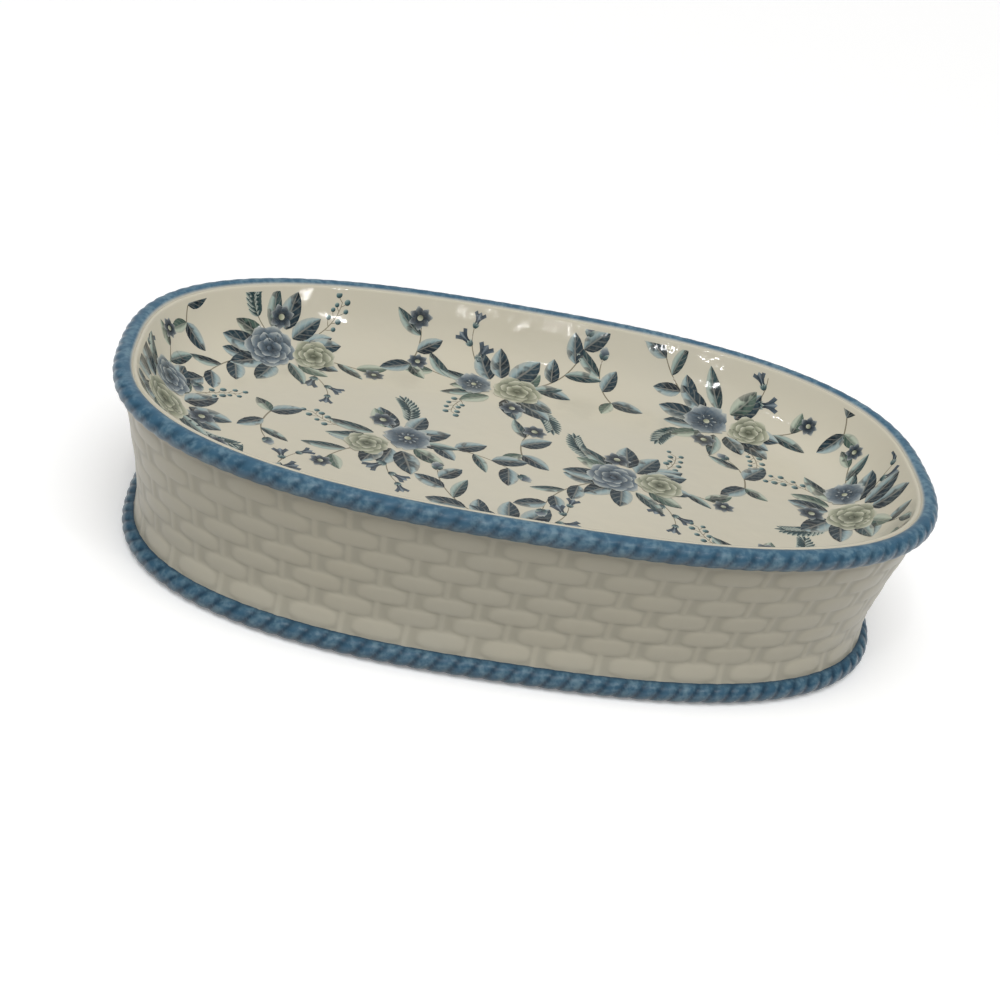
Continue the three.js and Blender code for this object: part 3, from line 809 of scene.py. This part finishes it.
def ropeMoulding(name, rope):
    turns = evenTurns(rope["strands"] * ropeForm["columnsPerStrand"])
    x, y = ovalPlan(turns, rope["inset"])
    forward = np.stack([np.roll(x, -1) - np.roll(x, 1), np.roll(y, -1) - np.roll(y, 1)])
    outX, outY = np.array([forward[1], -forward[0]]) / np.hypot(*forward)
    around = np.linspace(np.pi, -np.pi, ropeForm["sides"], endpoint=False)
    rows = np.stack([np.stack([x + rope["radius"] * np.cos(a) * outX, y + rope["radius"] * np.cos(a) * outY,
                               np.full_like(x, rope["height"] + rope["radius"] * np.sin(a))], axis=1)
                     for a in around])
    lays = np.arange(len(turns))[None, :] / ropeForm["columnsPerStrand"]
    piece = rowMesh(name, rows, True, {"lay": lays, "around": around[:, None]})

    numbers = {"Groove": rope["groove"] * mm, "Groove Stain And Shade": rope["grooveStainAndShade"],
               "Twist": ropeForm["twist"], "Swell": ropeForm["swell"],
               "Smooth From": math.radians(rope["smoothFrom"]), "Smooth To": math.radians(rope["smoothTo"]),
               "Seam Shade": rope["seamShade"], "Seam From": math.radians(ropeForm["seamFrom"]),
               "Seam Full": math.radians(ropeForm["seamFull"])}
    tree, given = newTree(name + "Strands", numbers)
    lay = addNode(tree, "GeometryNodeInputNamedAttribute", "lay")
    angle = addNode(tree, "GeometryNodeInputNamedAttribute", "around")
    climb = addNode(tree, "ShaderNodeMath", angle, given.outputs["Twist"], operation="MULTIPLY")
    climbed = addNode(tree, "ShaderNodeMath", climb, 2 * math.pi, operation="DIVIDE")
    strand = addNode(tree, "ShaderNodeMath", lay, climbed, operation="SUBTRACT")
    halfTurns = addNode(tree, "ShaderNodeMath", strand, math.pi, operation="MULTIPLY")
    wave = addNode(tree, "ShaderNodeMath", halfTurns, operation="COSINE")
    ridge = addNode(tree, "ShaderNodeMath", wave, operation="ABSOLUTE")
    swell = addNode(tree, "ShaderNodeMath", ridge, given.outputs["Swell"], operation="POWER")
    away = addNode(tree, "ShaderNodeMath", angle, operation="ABSOLUTE")
    showing = addNode(tree, "ShaderNodeMapRange", away, given.outputs["Smooth From"],
                      given.outputs["Smooth To"], 1.0, 0.0, interpolation_type="SMOOTHSTEP")
    hollow = addNode(tree, "ShaderNodeMath", 1.0, swell, operation="SUBTRACT")
    dip = addNode(tree, "ShaderNodeMath", hollow, showing, operation="MULTIPLY")
    depth = addNode(tree, "ShaderNodeMath", dip, given.outputs["Groove"], operation="MULTIPLY")
    inward = addNode(tree, "ShaderNodeMath", depth, -1.0, operation="MULTIPLY")
    normal = addNode(tree, "GeometryNodeInputNormal")
    pushed = addNode(tree, "ShaderNodeVectorMath", normal, operation="SCALE", sockets={"Scale": inward})
    formed = addNode(tree, "GeometryNodeSetPosition", given, sockets={"Offset": pushed})
    # Stain and painted shade: the deeper the groove between strands, the darker the blue.
    grooveDarkening = addNode(tree, "ShaderNodeMath", dip, given.outputs["Groove Stain And Shade"], operation="MULTIPLY")
    # Painted shade: the foot rope's upper side, in the seam against the wall, is darkened.
    seamShading = addNode(tree, "ShaderNodeMapRange", angle, given.outputs["Seam From"], given.outputs["Seam Full"],
                   0.0, given.outputs["Seam Shade"], interpolation_type="SMOOTHSTEP")
    deepest = addNode(tree, "ShaderNodeMath", grooveDarkening, seamShading, operation="MAXIMUM")
    clear = addNode(tree, "ShaderNodeMath", 1.0, deepest, operation="SUBTRACT")
    stored = addNode(tree, "GeometryNodeStoreNamedAttribute", formed,
                     sockets={"Name": "relief", "Value": clear})
    return runTree(piece, tree, stored, numbers, blueMaterial)


rimPiece = ropeMoulding("rim_rope_moulding", rimRope)
footPiece = ropeMoulding("foot_rope_moulding", footRope)
print("ropes made:", len(rimPiece.data.polygons), "and", len(footPiece.data.polygons), "faces")

for piece, node, slot in ((wallPiece, "basket_wall", "cream_glaze"), (wellPiece, "soap_well", "cream_glaze"),
                          (rimPiece, "rim_rope", "blue_glaze"), (footPiece, "foot_rope", "blue_glaze")):
    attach(piece, "root")
    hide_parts(node)
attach(printPiece, "root")

# Floor: pale card. To the camera and in reflections it is lifted to white where no shadow falls.
floorLook = {"halfSide": 3000.0, "drop": 0.05, "card": "#a6a5a0", "white": 0.95, "lift": 0.2,
             "roughness": 0.9}


def paleFloor():
    side, level = floorLook["halfSide"] * mm, -floorLook["drop"] * mm
    mesh = bpy.data.meshes.new("floor")
    mesh.from_pydata([(-side, -side, level), (side, -side, level), (side, side, level), (-side, side, level)],
                     [], [(0, 1, 2, 3)])
    piece = bpy.data.objects.new("floor", mesh)
    scene.collection.objects.link(piece)
    material, tree, shader = newMaterial("pale_card")
    path = addNode(tree, "ShaderNodeLightPath")
    seen = addNode(tree, "ShaderNodeMath", path.outputs["Is Camera Ray"], path.outputs["Is Glossy Ray"],
                   operation="MAXIMUM")
    seenWhite = addNode(tree, "ShaderNodeMath", seen, path.outputs["Is Transmission Ray"],
                        operation="MAXIMUM")
    colour = addNode(tree, "ShaderNodeMix", seenWhite, data_type="RGBA",
                     sockets={6: linear(floorLook["card"]), 7: (*[floorLook["white"]] * 3, 1.0)})
    glow = addNode(tree, "ShaderNodeMath", seenWhite, floorLook["lift"], operation="MULTIPLY")
    tree.links.new(colour.outputs[2], shader.inputs["Base Color"])
    tree.links.new(glow.outputs[0], shader.inputs["Emission Strength"])
    shader.inputs["Emission Color"].default_value = (1.0, 1.0, 1.0, 1.0)
    shader.inputs["Roughness"].default_value = floorLook["roughness"]
    shader.inputs["Specular IOR Level"].default_value = 0.0
    mesh.materials.append(material)


paleFloor()

# Light: a room that is dimmer towards the ends of the dish, soft light from above and in front, a little more
# from the left, a soft spot from each side on the far end slope of the well, and small lamps that the glaze
# mirrors. A small lamp is given by its place, its two sides and its power.
light = {"room": 0.4, "roomEnds": 0.12, "roomTint": (1.0, 0.99, 0.97, 1.0),
         "key": 1.81, "keyFrom": (0, -370, 930), "keySpread": 50.0,
         "fill": 0.13, "fillFrom": (-330, -180, 400), "fillAt": (0, 0, 15), "fillSide": 300,
         "end": 3.5, "endFrom": (-375, 0, 137), "endAt": (68, 0, 31), "endCone": 11.0, "endSoft": 40,
         "glintAt": (0, 0, 20),
         "glints": (((241, -354, 538), (12, 80), 0.2), ((13, 13, 111), (1, 2), 0.0005),
                    ((-103, -362, 586), (12, 80), 0.2), ((304, -373, 397), (9, 6), 0.022),
                    ((71, -478, 413), (5, 4), 0.009), ((-16, -479, 420), (10, 6), 0.024),
                    ((-112, -458, 428), (12, 6), 0.03))}

world = bpy.data.worlds.new("room")
scene.world = world
world.use_nodes = True
roomTree = world.node_tree
background = roomTree.nodes["Background"]
background.inputs["Color"].default_value = light["roomTint"]
direction = addNode(roomTree, "ShaderNodeTexCoord").outputs["Generated"]
lengthwise = addNode(roomTree, "ShaderNodeSeparateXYZ", direction)
endwards = addNode(roomTree, "ShaderNodeMath", lengthwise, operation="ABSOLUTE")
strength = addNode(roomTree, "ShaderNodeMapRange", endwards, 0.0, 1.0, light["room"], light["roomEnds"])
roomTree.links.new(strength.outputs[0], background.inputs["Strength"])


def addLamp(name, kind, at, towards):
    lamp = bpy.data.objects.new(name, bpy.data.lights.new(name, kind))
    scene.collection.objects.link(lamp)
    turned = (Vector(at) - Vector(towards)).to_track_quat("Z", "Y").to_matrix().to_4x4()
    lamp.matrix_world = Matrix.Translation(Vector(at) * mm) @ turned
    return lamp


keyLamp = addLamp("key", "SUN", light["keyFrom"], (0, 0, 0))
keyLamp.data.energy, keyLamp.data.angle = light["key"], math.radians(light["keySpread"])
fillLamp = addLamp("fill", "AREA", light["fillFrom"], light["fillAt"])
fillLamp.data.energy, fillLamp.data.size = light["fill"], light["fillSide"] * mm
softLamps = [keyLamp, fillLamp]
for name, side in (("end1", -1), ("end2", 1)):
    mirrored = Matrix.Diagonal((side, 1, 1))
    endLamp = addLamp(name, "SPOT", mirrored @ Vector(light["endFrom"]), mirrored @ Vector(light["endAt"]))
    endLamp.data.energy, endLamp.data.shadow_soft_size = light["end"], light["endSoft"] * mm
    endLamp.data.spot_size, endLamp.data.spot_blend = math.radians(light["endCone"]), 1.0
    softLamps.append(endLamp)
for lamp in softLamps:
    lamp.visible_glossy = False  # the glaze mirrors only the room and the small lamps
for number, (place, size, power) in enumerate(light["glints"]):
    glint = addLamp("glint%d" % (number + 1), "AREA", place, light["glintAt"])
    glint.data.shape, glint.data.energy = "RECTANGLE", power
    glint.data.size, glint.data.size_y = size[0] * mm, size[1] * mm
    glint.visible_camera = False
print("floor and light set")

bpy.context.view_layer.update()
